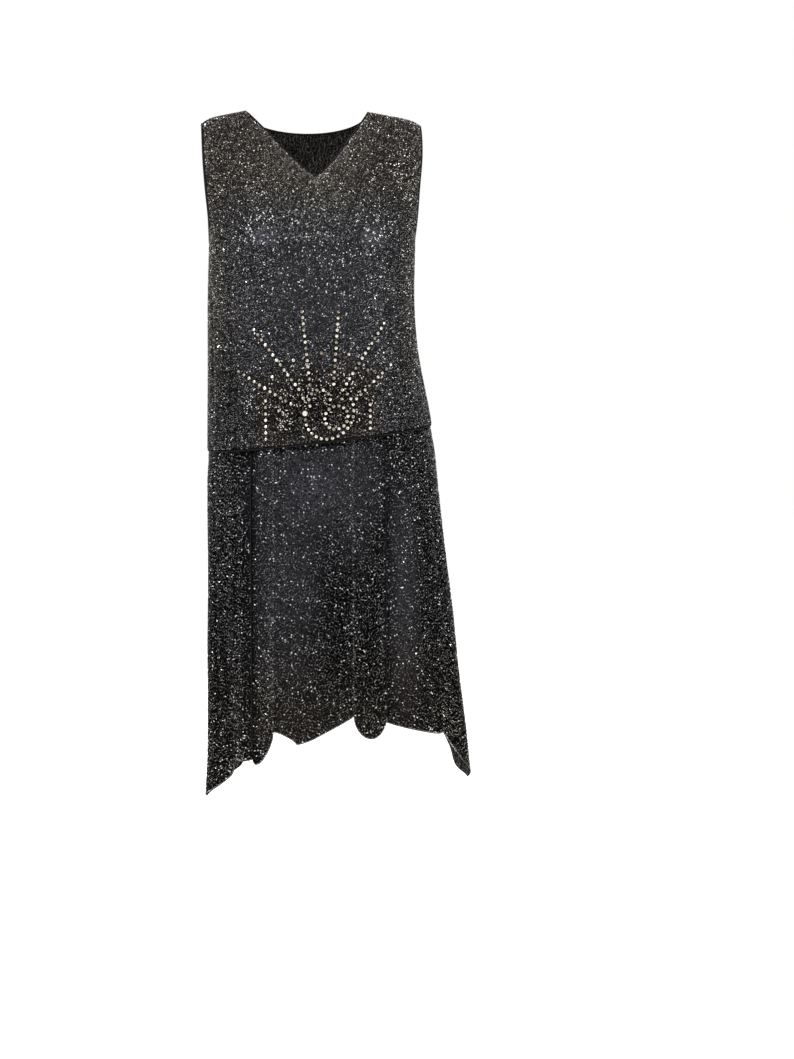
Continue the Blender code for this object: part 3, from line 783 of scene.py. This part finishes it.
def clothPiece(sheet):
    index = np.arange(sheet.drop.size).reshape(sheet.drop.shape)
    faces = np.stack((index[:-1, :-1], index[1:, :-1], index[1:, 1:], index[:-1, 1:]), axis=-1)
    front = np.abs(sheet.angle) <= 90
    x, drop = sheet.points[..., 0], sheet.drop
    numbers = {"warmth": warmthAt(x, drop, front), "veil": veilAt(x, drop, front)}
    if "Bodice" not in sheet.name:
        shares = np.linspace(0, 1, sheet.points.shape[1])
        edge = np.minimum(shares, 1 - shares) * sheet.width
        # painted shadow beside the panels' edges
        numbers["veil"] = numbers["veil"] * fade("edgeShade", edge)
    name = sheet.name + "Cloth"
    faces = faces.reshape(-1, 4)
    mesh = meshFrom(name, sheet.points.reshape(-1, 3), faces, numbers, smooth=True)
    piece = newPiece(name, mesh, ("cloth", "inside"), (solidOf(sheet.name),))
    wall = piece.modifiers.new("wall", "SOLIDIFY")
    wall.thickness = clothThickness
    wall.offset = 0
    wall.material_offset = 1
    return piece


cloths = {name: clothPiece(sheet) for name, sheet in sheets.items()}
print("cloth hung:", ", ".join(cloths))

# Small cut beads sewn in wandering lines that never cross
wander = {
    "tile": 0.24,
    "step": 0.0021,
    "bodiceGap": 0.00215,
    "skirtGap": 0.0031,
    "sidePanelGap": 0.0035,
    "longest": 40,
    "seed": 19,
    "firstBend": 0.4,
    "slowBend": 0.2,  # the share of a bend that a line may take instead
    "bendChance": 0.3,
    "bends": (0.25, 0.75),  # radians a bead
    "waysOut": (1.0, -1.0, 1.5, -1.5),  # turns tried when a line is blocked
}
beadShape = {"length": 0.00120, "breadth": 0.00098, "height": 0.00125, "sink": 0.0002}
beadEdge = {"bodice": 0.0020, "skirt": 0.0054, "neck": 0.0056, "hem": 0.0020}  # plain cloth left


def wanderingTile(gap, seed):  # (x, y, heading) of each bead on a square that repeats edge to edge
    rng = np.random.default_rng(seed)
    size, step = wander["tile"], wander["step"]
    cells = int(size / gap)
    cell = size / cells
    held, beads = {}, []

    def free(x, y, line):
        i, j = int(x / cell) % cells, int(y / cell) % cells
        for di in (-1, 0, 1):
            for dj in (-1, 0, 1):
                for number in held.get(((i + di) % cells, (j + dj) % cells), ()):
                    if number in line[-3:]:
                        continue
                    dx = abs(beads[number][0] - x) % size
                    dy = abs(beads[number][1] - y) % size
                    dx, dy = min(dx, size - dx), min(dy, size - dy)
                    if dx * dx + dy * dy < gap * gap:
                        return False
        return True

    starts = [((i + 0.5) * gap, (j + 0.5) * gap) for i in range(cells) for j in range(cells)]
    rng.shuffle(starts)
    for startX, startY in starts:
        x, y, heading = startX % size, startY % size, rng.uniform(0, math.tau)
        bend, line = wander["firstBend"], []
        while free(x, y, line) and len(line) < wander["longest"]:
            held.setdefault((int(x / cell) % cells, int(y / cell) % cells), []).append(len(beads))
            line.append(len(beads))
            beads.append((x, y, heading))
            if rng.random() < wander["bendChance"]:
                bend = rng.choice((-1, 1)) * rng.uniform(*wander["bends"])
            for turn in (bend, bend * wander["slowBend"], -bend, *wander["waysOut"]):
                nextX = (x + step * math.cos(heading + turn)) % size
                nextY = (y + step * math.sin(heading + turn)) % size
                if free(nextX, nextY, line):
                    heading, x, y = heading + turn, nextX, nextY
                    break
            else:
                break
    return np.array(beads)


tiles = {
    name: wanderingTile(wander[name + "Gap"], wander["seed"] + number)
    for number, name in enumerate(("bodice", "skirt", "sidePanel"))
}
print("beads in a tile:", {name: len(tile) for name, tile in tiles.items()})


def spread(tile, width, length, shift, edge):  # the tile's beads over a whole piece
    size = wander["tile"]
    x, y = ((tile[:, k] + shift[k]) % size for k in (0, 1))
    spots = list(np.ndindex(math.ceil(width / size), math.ceil(length / size)))
    across = np.concatenate([x + i * size for i, _ in spots])
    down = np.concatenate([y + j * size for _, j in spots])
    heading = np.tile(tile[:, 2], len(spots))
    inside = (across > edge) & (across < width - edge)
    inside &= (down > beadEdge["neck"]) & (down < length - beadEdge["hem"])
    return across[inside], down[inside], heading[inside]


def sewnBeads(name, places, normals, along, tones, warmths, sizes=1.0, shape=beadShape):
    # One mesh of beads cut to four faces, each laid along its thread with a ridge across its top
    along = unit(along - normals * (along * normals).sum(axis=1)[:, None])
    aside = np.cross(normals, along)
    sizes = np.broadcast_to(sizes, len(places))[:, None]
    base = places + normals * (clothThickness / 2 - shape["sink"])
    top = base + normals * shape["height"] * sizes
    reach, half = along * shape["length"] * sizes, aside * shape["breadth"] * sizes
    corners = np.stack((base + reach, base - reach, top + half, top - half), axis=1)
    sides = np.array([(0, 2, 3), (1, 3, 2), (1, 2, 0), (0, 3, 1)])
    faces = (np.arange(len(places))[:, None, None] * 4 + sides).reshape(-1, 3)
    numbers = {"tone": np.repeat(tones, 4), "warmth": np.repeat(warmths, 4)}
    mesh = meshFrom(name, corners.reshape(-1, 3), faces, numbers)
    kind = ("beads", "beaded_cloth") if shape is beadShape else ("binding", "binding")
    return newPiece(name, mesh, kind[:1])


# How bright each bead is, painted glints and shade included: pairs are a least value and a random
# share on top
sparkle = {
    "seed": 31,
    "ordinary": 0.37,
    "veiled": 0.09,  # duller where the cloth looks paler
    "spread": 0.16,
    "veiledSpread": 0.03,
    "limits": (-1.6, 1.8),
    "dull": (0.08, 0.12),
    "dullShare": 0.26,
    "halfBright": (0.48, 0.24),
    "halfBrightShare": 0.045,
    # white beads: silver beads whose white colour also paints their glints
    "bright": (0.92, 0.08),
    "share": 0.025,
    "shade": 0.10,  # painted shade: how much duller the ordinary beads are in the dark and shaded places
    "size": 1.10,
    "sizes": (0.92, 0.16),
    "warmthSpread": 0.12,
    "backShare": 0.5,
    # more white beads at the bust paint its highlights
    # x, drop, half width, half height, share of bright beads there
    "patches": metres((0, 1, 2, 3), (
        (-85, 178, 32, 26, 0.13), (85, 178, 32, 26, 0.13), (0, 215, 120, 25, 0.05),
        (0, 262, 100, 18, 0.075), (-50, 452, 10, 16, 0.48), (-100, 430, 8, 9, 0.4),
        (4, 408, 10, 4, 0.5), (10, 425, 85, 45, 0.13), (40, 940, 120, 30, 0.1),
        (-120, 960, 80, 40, 0.09), (130, 100, 30, 50, 0.09),
    )),
}
skirtBead = {  # against the bodice's beads
    "size": 1.08,
    "duller": 0.045,
    # painted shade: how much duller the beads are beside the panels' lapped edges
    "edgeDuller": 0.15,
    "edge": (0.004, 0.016),
    "brightFrom": 0.8,
    "darkest": 0.03,
}


def beadTones(rng, x, drop, front, veil):  # (brightness, size) of each bead
    count = len(x)

    def some(label):
        least, more = sparkle[label]
        return least + more * rng.random(count)

    share = np.full(count, sparkle["share"])
    for nearness, most in near(x, drop, sparkle["patches"], 2):
        share = np.maximum(share, most * nearness * np.where(front, 1, sparkle["backShare"]))
    spread = sparkle["spread"] - sparkle["veiledSpread"] * veil
    tones = sparkle["ordinary"] - sparkle["veiled"] * veil
    tones = tones + spread * rng.standard_normal(count).clip(*sparkle["limits"])
    kind = rng.random(count)
    tones = np.where(kind < sparkle["dullShare"], some("dull"), tones)
    tones = np.where(kind > 1 - sparkle["halfBrightShare"], some("halfBright"), tones)
    # painted shade: ordinary beads dulled in the dark and the shaded places
    tones = tones - sparkle["shade"] * darkGroundAndShadeAt(x, drop)
    bright = rng.random(count) < share
    tones = np.where(bright, some("bright"), tones)
    return tones, np.where(bright, sparkle["size"], some("sizes"))


def beadPiece(sheet, tile, seed, edge, clear=None):
    rng = np.random.default_rng(seed)
    shift = rng.uniform(0, wander["tile"], 2)
    across, down, heading = spread(tile, sheet.width, sheet.length, shift, edge)
    places, normals = sheet.place(across, down)
    ahead, _ = sheet.place(across + np.cos(heading) * 1e-3, down + np.sin(heading) * 1e-3)
    drop = sheet.pick(sheet.drop, across, down)
    front = sheet.pick(np.abs(sheet.angle), across, down) <= 90
    aside = np.minimum(across, sheet.width - across)
    keep = np.linalg.norm(ahead - places, axis=1) > 1e-5
    if clear is not None:
        keep &= clear(places)
    found = (places, normals, ahead - places, drop, front, aside)
    places, normals, along, drop, front, aside = (values[keep] for values in found)
    x = places[:, 0]
    tones, sizes = beadTones(rng, x, drop, front, veilAt(x, drop, front))
    warmth = warmthAt(x, drop, front) + rng.normal(0, sparkle["warmthSpread"], len(x))
    if "Bodice" not in sheet.name:
        # painted shade on the beads beside the panels' edges
        atEdge = 1 - smoothStep(*skirtBead["edge"], aside)
        dull = skirtBead["duller"] + skirtBead["edgeDuller"] * atEdge
        tones = (tones - dull * (tones < skirtBead["brightFrom"])).clip(skirtBead["darkest"], 1)
        sizes = sizes * skirtBead["size"]
    name = sheet.name + "Beads"
    return sewnBeads(name, places, normals, along, tones, warmth.clip(0, 1), sizes)


# Set stones: a fan of rays over a ring, worked out from a few angles and distances
stonePitch = 0.0090
rays = metres((2, 3), (  # angle, the first stone's x and drop, stones
    ("ray_right_low", 147, -40, 434, 11),
    ("ray_right_high", 127, -28, 414, 13),
    ("ray_right_upright", 96, -12, 409, 13),
    ("ray_left_upright", 86, 23, 410, 13),
    ("ray_left_high", 58, 42, 411, 13),
    ("ray_left_low", 43, 57, 435, 9),
))
arcs = metres((1, 2, 3, 6), (  # x, drop, radius, first angle, sweep, last radius, stones
    ("ring", 26.8, 460, 17.2, 0, 360, 17.2, 14),
    ("scroll", 13.5, 454.5, 32.5, 187, 230, 41.5, 18),
    ("arch", 2, 432.5, 15.8, 0, 205, 15.8, 7),
))
shortRows = metres((2, 3), (  # as the rays
    ("column_right", -90, -77, 427, 7),
    ("column_left", -90, 77.5, 446, 5),
    ("large", 0, -19.6, 449.3, 1),
    ("between_right_low", 0, -67, 394, 1),
    ("between_right_high", 0, -36, 372, 1),
    ("between_uprights", 0, 5.5, 363, 1),
    ("between_left_high", 0, 46, 366, 1),
    ("between_left_low", 0, 74, 392, 1),
    ("by_arch_right", 0, -22, 427, 1),
    ("by_arch_left", 0, 35, 433.5, 1),
))
stoneShape = {
    "seed": 7,
    "radius": 0.0025,
    "foot": 0.9,
    "girdle": 0.0007,
    "shoulder": 0.80,
    "shoulderHeight": 0.62,
    "table": 0.0013,
    "crown": 0.0019,
    "lift": 0.0006,
    "sizes": (0.95, 1.05),
    "largeSize": 1.65,
    "levels": (0.36, 0.64, 0.92),  # painted glints: how bright the stones are, and how many of each
    "shares": (0.27, 0.40, 0.33),
    # each facet's painted reflection strays from its stone's glint by this much
    "facetSpread": 0.22,
    "clearance": 0.0040,  # no small bead is sewn nearer than this
}
settingShape = {
    "radius": 0.0027,
    "wall": 0.0004,
    "height": 0.0010,
    "outerRim": 0.96,
    "innerRim": 0.97,
    "innerRise": 1.1,
}


def rayPlaces(angle, x, drop, stones):
    reach, angle = stonePitch * np.arange(stones), math.radians(angle)
    return x + reach * math.cos(angle), drop - reach * math.sin(angle)


def arcPlaces(x, drop, radius, start, sweep, endRadius, stones):
    share = np.arange(stones) / (stones if abs(sweep) == 360 else stones - 1)
    angle = np.radians(start + sweep * share)
    reach = radius + (endRadius - radius) * share
    return x + reach * np.cos(angle), drop - reach * np.sin(angle)


def lathe(profile, closed, sides=8):  # corners and faces of a form turned from a profile
    corners, faces = [], []
    for radius, height, twist in profile:
        turned = (np.arange(sides) + twist) * math.tau / sides
        corners += [(radius * math.cos(t), radius * math.sin(t), height) for t in turned]
    for low in range(0, len(corners) - (0 if closed else sides), sides):
        high = (low + sides) % len(corners)
        for i in range(sides):
            k = (i + 1) % sides
            faces += [(low + i, low + k, high + i), (low + k, high + k, high + i)]
    if not closed:
        last, bottom, top = len(corners) - sides, len(corners), len(corners) + 1
        corners += [(0, 0, profile[0][1]), (0, 0, profile[-1][1])]
        faces += [(last + i, last + (i + 1) % sides, top) for i in range(sides)]
        faces += [((i + 1) % sides, i, bottom) for i in range(sides)]
    return np.array(corners), np.array(faces)


def stoneForm():  # one brilliant with a flat table; radius, height, turn as a share of a side
    shape = stoneShape
    shoulder = (shape["girdle"] + shape["crown"]) * shape["shoulderHeight"]
    profile = (
        (shape["radius"] * shape["foot"], 0, 0),
        (shape["radius"], shape["girdle"], 0),
        (shape["radius"] * shape["shoulder"], shoulder, 0.5),
        (shape["table"], shape["crown"], 0),
    )
    return lathe(profile, False)


def settingForm():  # a low metal cup round a stone
    shape = settingShape
    outer, inner = shape["radius"] + shape["wall"], shape["radius"]
    profile = (
        (outer, 0, 0.5),
        (outer * shape["outerRim"], shape["height"], 0.5),
        (inner * shape["innerRim"], shape["height"] * shape["innerRise"], 0.5),
        (inner, 0, 0.5),
    )
    return lathe(profile, True)


def standing(template, places, normals, spins, sizes, lift):  # copies of a small form on the cloth
    corners, faces = template
    aside = unit(np.cross((0.0, 0.0, 1.0), normals))
    over = np.cross(normals, aside)
    right = aside * np.cos(spins)[:, None] + over * np.sin(spins)[:, None]
    other = over * np.cos(spins)[:, None] - aside * np.sin(spins)[:, None]
    parts = corners[None] * sizes[:, None, None]
    axes = (right, other, normals)
    placed = (places + normals * lift)[:, None]
    placed = placed + sum(parts[..., k : k + 1] * axes[k][:, None] for k in range(3))
    allFaces = (np.arange(len(places))[:, None, None] * len(corners) + faces).reshape(-1, 3)
    return placed.reshape(-1, 3), allFaces


def stonePiece(rng, name, x, drop):
    size = stoneShape["largeSize"] if name == "large" else 1
    places, normals = surface(-1, turnAt(x, drop), drop)
    spins = rng.uniform(0, math.tau, len(x))
    sizes = size * rng.uniform(*stoneShape["sizes"], len(x))
    stood, lift = (places, normals, spins, sizes), clothThickness / 2
    stones, facets = standing(stoneForm(), *stood, lift + stoneShape["lift"])
    cups, sides = standing(settingForm(), *stood, lift)
    # a painted glint for each stone, and a painted reflection on each facet
    glints = rng.choice(stoneShape["levels"], len(x), p=stoneShape["shares"])
    glints = np.maximum(glints, size > 1)  # the large one gets the brightest painted glint
    glints = np.repeat(glints, len(facets) // len(x))
    glints = glints + rng.normal(0, stoneShape["facetSpread"], len(glints))
    tones = np.append(glints, np.zeros(len(sides))).clip(0, 1)
    faces = np.vstack((facets, sides + len(stones)))
    mesh = meshFrom("set_" + name, np.vstack((stones, cups)), faces, {"tone": tones}, "FACE")
    kinds = np.repeat((0, 1), (len(facets), len(sides)))
    mesh.polygons.foreach_set("material_index", kinds)
    newPiece("set_" + name, mesh, ("stones", "settings"), ("stone_" + name,))
    return places


def setStones():
    rng = np.random.default_rng(stoneShape["seed"])
    places = []
    for rows, laid in ((rays, rayPlaces), (arcs, arcPlaces), (shortRows, rayPlaces)):
        places += [stonePiece(rng, name, *laid(*row)) for name, *row in rows]
    return np.vstack(places)


stonePlaces = setStones()
print("stones set:", len(stonePlaces))


def clearOfStones(places):
    keep = np.ones(len(places), bool)
    for stone in stonePlaces:
        keep &= ((places - stone) ** 2).sum(axis=1) > stoneShape["clearance"] ** 2
    return keep


beadsOf = {}
for seed, (name, sheet) in enumerate(sheets.items(), start=sparkle["seed"]):
    kind = "bodice" if "Bodice" in name else "sidePanel" if "side" in name else "skirt"
    edge = beadEdge["bodice" if "Bodice" in name else "skirt"]
    clear = clearOfStones if name == "frontBodice" else None
    beadsOf[name] = [beadPiece(sheet, tiles[kind], seed, edge, clear)]
    print(f"beads on {name}:", len(beadsOf[name][0].data.polygons) // 4)


def readOff(line, start, pitch, *values):  # values along a line at even distances
    reach = np.append(0, np.cumsum(np.linalg.norm(np.diff(line, axis=0), axis=1)))
    wanted = np.arange(start, reach[-1], pitch)
    return [np.interp(wanted, reach, value) for value in values]


edgeBeads = {
    "seed": 61,
    "pitch": 0.0024,
    "inset": 0.0014,
    "ends": 0.001,
    "steps": 1500,
    "tone": (0.48, 0.13),  # and its spread
    "warmth": 0.45,
}


def hemBeads(sheet, seed):
    rng = np.random.default_rng(seed)
    across = np.linspace(edgeBeads["ends"], sheet.width - edgeBeads["ends"], edgeBeads["steps"])
    down = np.full(edgeBeads["steps"], sheet.length - edgeBeads["inset"])
    line, _ = sheet.place(across, down)
    across, down = readOff(line, edgeBeads["pitch"] / 2, edgeBeads["pitch"], across, down)
    places, normals = sheet.place(across, down)
    tones = rng.normal(*edgeBeads["tone"], len(across)).clip(0, 1)
    warmth = np.full(len(across), edgeBeads["warmth"])
    along = np.gradient(places, axis=0)
    return sewnBeads(sheet.name + "HemBeads", places, normals, along, tones, warmth)


for seed, name in enumerate(hems, start=edgeBeads["seed"]):
    beadsOf[name].append(hemBeads(sheets[name], seed))
print("hems edged with beads")

binding = {
    "radius": 0.0015,
    "gap": -0.0003,
    "armholeSteps": 28,
    "leastTurn": 0.5,  # keeps a sharp corner from reaching too far
    "stitchInset": 0.0034,
    "stitchPitch": 0.0034,
}
threadShape = {"length": 0.0011, "breadth": 0.00030, "height": 0.00045, "sink": 0.0001}
# near-black rolled edges along the bodice's foot and the centre panels' sides, dark both as binding
# and as painted shadow where the edges lap; thin rolls along the seams
edgeRoll = {"radius": 0.0010, "drop": 0.0007, "panelRadius": 0.0009, "seamRadius": 0.0008}


def edgeOffset(points, normals, distance):  # a closed line moved sideways in the surface
    along = np.roll(points, -1, axis=0) - points
    aside = unit(np.cross(normals + np.roll(normals, -1, axis=0), along))
    both = unit(np.roll(aside, 1, axis=0) + aside)
    reach = distance / np.maximum(binding["leastTurn"], (both * aside).sum(axis=1))
    return points + both * reach[:, None]


def roll(name, points, radius, closed=False, replaced=()):
    data = bpy.data.curves.new(name, "CURVE")
    data.dimensions = "3D"
    data.bevel_depth = radius
    data.bevel_resolution = 2
    data.use_fill_caps = not closed
    spline = data.splines.new("POLY")
    spline.points.add(len(points) - 1)
    spline.points.foreach_set("co", np.column_stack((points, np.ones(len(points)))).ravel())
    spline.use_cyclic_u = closed
    return newPiece(name, data, ("binding",), replaced)


def edgeLine(edges):  # a closed line along an edge of the front, and back along the back's
    found = []
    for side, (turn, drop) in zip((-1, 1), edges):
        order = slice(-2, 0, -1) if side > 0 else slice(None)
        found.append(surface(side, turn[order], drop[order]))
    return [np.vstack(parts) for parts in zip(*found)]


def neckEdge():
    edges = []
    inner = slice(bodiceGrid["shoulderColumns"], -bodiceGrid["shoulderColumns"])
    for side in (-1, 1):
        shares, drop = bodiceTop(side)
        turn = shares * np.radians(levelAt("arc", drop))
        edges.append((turn[inner], drop[inner]))
    return edgeLine(edges)


def armholeEdge(sign):
    steps = binding["armholeSteps"]
    drop = form["armholeDepth"] * (np.arange(steps + 1) / steps) ** 2
    edge = (sign * np.radians(levelAt("arc", drop)), drop)
    return [part[::sign] for part in edgeLine((edge, edge))]


def stitches(name, points, normals):  # small dark stitches along the foot of a binding
    line = edgeOffset(points, normals, -binding["stitchInset"])
    line, facing = (np.vstack((a, a[:1])) for a in (line, normals))
    read = np.column_stack(readOff(line, 0, binding["stitchPitch"], *line.T, *facing.T))
    places, normals = read[:, :3], unit(read[:, 3:])
    along = np.roll(places, -1, axis=0) - places
    none = np.zeros(len(places))
    sewnBeads(name, places, normals, along, none, none, shape=threadShape)


for name, (points, normals) in (
    ("neckBinding", neckEdge()),
    ("armholeBindingRight", armholeEdge(-1)),
    ("armholeBindingLeft", armholeEdge(1)),
):
    line = edgeOffset(points, normals, binding["radius"] + binding["gap"])
    roll(name, line, binding["radius"], True, (solidOf(name),))
    stitches(name + "Stitches", points, normals)

edgeRolls = {name: [] for name in sheets}
for name in ("frontBodice", "backBodice"):
    line = sheets[name].points[-1, 1:-1] - np.array((0, 0, edgeRoll["drop"]))
    edgeRolls[name].append(roll(name + "Edge", line, edgeRoll["radius"]))
front = sheets["frontBodice"].points
armhole, shoulder = bodiceGrid["armholeRows"], bodiceGrid["shoulderColumns"] + 1
for name, line in (  # the back lies against the front along these
    ("sideSeamRight", front[armhole:, 0]),
    ("sideSeamLeft", front[armhole:, -1]),
    ("shoulderSeamRight", front[0, :shoulder]),
    ("shoulderSeamLeft", front[0, -shoulder:]),
):
    line = line + np.array((0, form["seamGap"] / 2, 0))
    edgeRolls["frontBodice"].append(roll(name, line, edgeRoll["seamRadius"]))
for name in ("frontSkirt", "backSkirt"):
    for side, column in (("A", 0), ("B", -1)):
        line = sheets[name].points[3:-1, column]
        edgeRolls[name].append(roll(name + "Edge" + side, line, edgeRoll["panelRadius"]))
print("edges bound")

heldBy = {"frontBodice": "back", "backBodice": "front", "frontSkirt": "front", "backSkirt": "back"}
for name, sheet in sheets.items():
    above = (heldBy[name],) if name in heldBy else ("front", "back")
    above = [side + "BodiceCloth" for side in above]


def aimedAt(thing, place, aim):
    thing.location = place
    thing.rotation_euler = (Vector(aim) - thing.location).to_track_quat("-Z", "Y").to_euler()


def buildStudio():
    scene = bpy.context.scene
    lens = bpy.data.cameras.new("camera")
    lens.sensor_width = camera["sensor"]
    lens.lens = camera["sensor"] * camera["distance"] / camera["heightSeen"]
    scene.camera = linked("camera", lens)
    aimedAt(scene.camera, camera["position"], camera["aim"])
    for number, (place, aim, size, watts) in enumerate(studio["lamps"]):
        lamp = bpy.data.lights.new(f"lamp{number + 1}", "AREA")
        lamp.size, lamp.energy = size, watts
        aimedAt(linked(lamp.name, lamp), place, aim)
    half, height = studio["floorSize"] / 2, studio["floorHeight"]
    corners = [(x * half, y * half, height) for x, y in ((-1, -1), (1, -1), (1, 1), (-1, 1))]
    floor = linked("floor", meshFrom("floor", corners, [(0, 1, 2, 3)]))
    floor.data.materials.append(Paint("paleFloor", studio["floorFinish"]).material)
    scene.world = bpy.data.worlds.new("studio")
    scene.world.use_nodes = True
    sky = Nodes(scene.world.node_tree)
    background = sky.tree.nodes["Background"].inputs
    backdrop = sky.add("ShaderNodeLightPath")  # 1 where the backdrop itself is seen
    sky.join(studio["ambient"] + backdrop * (1 - studio["ambient"]), background["Strength"])
    sky.join((1, 1, 1, 1), background["Color"])
    scene.view_settings.view_transform = "Standard"


buildStudio()
print("studio built")

bpy.context.view_layer.update()
